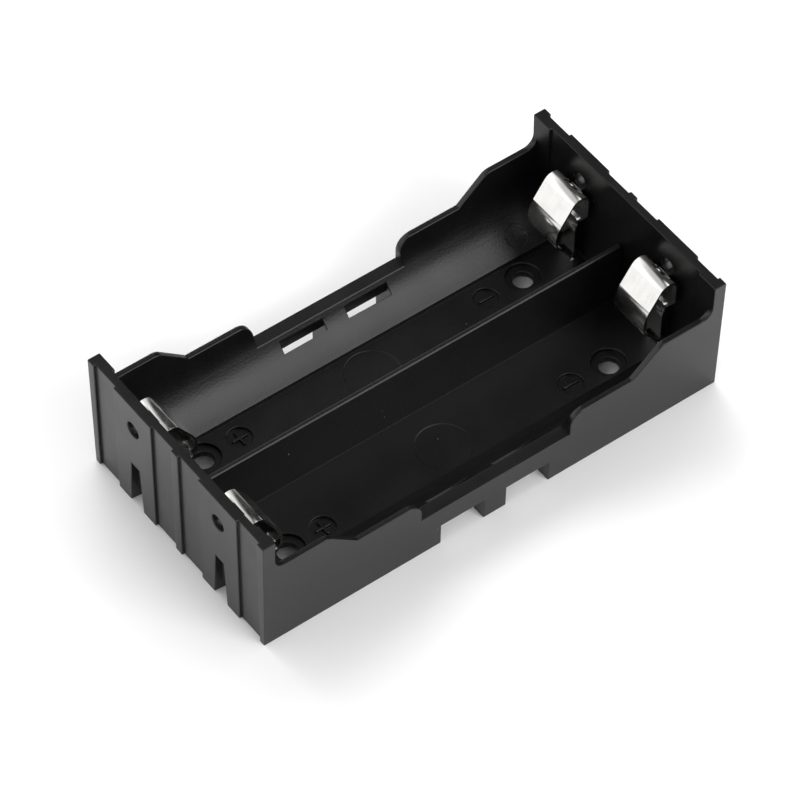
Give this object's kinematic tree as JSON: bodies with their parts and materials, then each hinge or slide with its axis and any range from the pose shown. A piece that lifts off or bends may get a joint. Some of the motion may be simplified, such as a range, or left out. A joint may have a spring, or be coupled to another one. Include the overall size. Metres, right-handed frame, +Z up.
{
  "type": "cylindrical cell holder",
  "caption": "Open moulded tray that holds cylindrical cells side by side, with bent strip contacts at its ends and screw holes in its floor.",
  "frame": {"origin": "middle of the footprint, on the surface that the tray stands on", "axes": "+X along the cells from the plus end to the minus end, +Y across the bays, +Z up out of the bays"},
  "size_m": [0.077, 0.04, 0.021],
  "materials": {
    "tray": "satin black",
    "contact": "bright nickel plate"
  },
  "bodies": {
    "root": {"cell_tray": "tray", "positive_contact_front": "contact", "positive_contact_rear": "contact", "negative_contact_front": "contact", "negative_contact_rear": "contact"}
  },
  "joints": []
}
